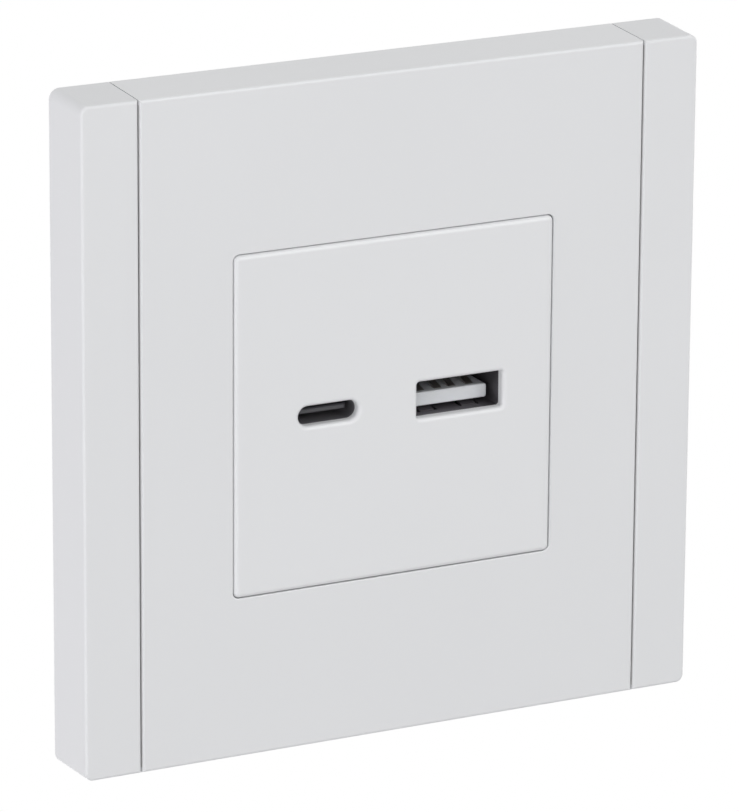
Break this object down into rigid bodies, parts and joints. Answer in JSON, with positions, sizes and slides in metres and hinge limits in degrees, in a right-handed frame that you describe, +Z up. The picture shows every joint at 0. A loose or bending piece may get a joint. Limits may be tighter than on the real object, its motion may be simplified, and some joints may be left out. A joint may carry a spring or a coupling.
{
  "type": "usb wall socket",
  "caption": "Flush wall socket with a square charger insert that has a USB-C and a USB-A port, in a clip-on cover plate with separate side strips.",
  "frame": {"origin": "centre of the socket on the wall plane, at the rear face of the mounting support", "axes": "+X to the right seen from the front, +Z up, +Y into the wall, so the front face looks along -Y"},
  "size_m": [0.0866, 0.0416, 0.0882],
  "materials": {
    "white_plastic": "satin moulded",
    "support_plastic": "fine texture",
    "housing_plastic": "fine texture",
    "steel": "tin plated",
    "zinc_steel": "zinc plated",
    "tongue_white": "satin",
    "tongue_black": "satin",
    "contact_metal": "plated",
    "circuit_board": "solder mask",
    "chip_black": "moulded resin",
    "ferrite": "sintered",
    "winding_tape": "polyester film",
    "capacitor_sleeve": "shrink sleeve",
    "copper": "enamelled wire",
    "resistor_body": "lacquered"
  },
  "bodies": {
    "socket": {"frame_panel": "white_plastic", "side_strip_left": "white_plastic", "side_strip_right": "white_plastic", "mounting_support": "support_plastic", "insert_cover": "white_plastic", "insert_housing": "housing_plastic", "usb_a_shell": "steel", "usb_a_insulator": "tongue_white", "usb_a_contacts": "contact_metal", "usb_c_shell": "steel", "usb_c_insulator": "tongue_black", "usb_c_contacts": "contact_metal", "port_board": "circuit_board", "port_controller": "chip_black", "power_board": "circuit_board", "power_controller": "chip_black", "link_pins": "contact_metal", "link_header": "chip_black", "transformer_core_front": "ferrite", "transformer_core_rear": "ferrite", "transformer_bobbin": "chip_black", "transformer_winding": "winding_tape", "input_capacitor": "capacitor_sleeve", "output_capacitor": "capacitor_sleeve", "suppression_capacitor": "winding_tape", "choke_core": "ferrite", "choke_winding": "copper", "bridge_rectifier": "chip_black", "fuse_resistor": "resistor_body", "terminal_block": "support_plastic", "terminal_bar_line": "contact_metal", "terminal_bar_neutral": "contact_metal"},
    "line_clamp": {"terminal_clamp_line": "zinc_steel"},
    "line_screw": {"terminal_screw_line": "zinc_steel"},
    "neutral_clamp": {"terminal_clamp_neutral": "zinc_steel"},
    "neutral_screw": {"terminal_screw_neutral": "zinc_steel"}
  },
  "joints": [
    {"name": "line_screw_turn", "type": "hinge", "parent": "socket", "child": "line_screw", "pos_m": [-0.0048, 0.0286, -0.0141], "axis": [0, 0, 1], "range_deg": [0, 1440]},
    {"name": "line_clamp_slide", "type": "slide", "parent": "socket", "child": "line_clamp", "axis": [0, 0, -1], "range_m": [0, 0.002]},
    {"name": "neutral_screw_turn", "type": "hinge", "parent": "socket", "child": "neutral_screw", "pos_m": [0.0048, 0.0286, -0.0141], "axis": [0, 0, 1], "range_deg": [0, 1440]},
    {"name": "neutral_clamp_slide", "type": "slide", "parent": "socket", "child": "neutral_clamp", "axis": [0, 0, -1], "range_m": [0, 0.002]}
  ],
  "couplings": [
    {"joint": "line_screw_turn", "follows": "line_clamp_slide", "rad_per_m": 12566},
    {"joint": "neutral_screw_turn", "follows": "neutral_clamp_slide", "rad_per_m": 12566}
  ]
}
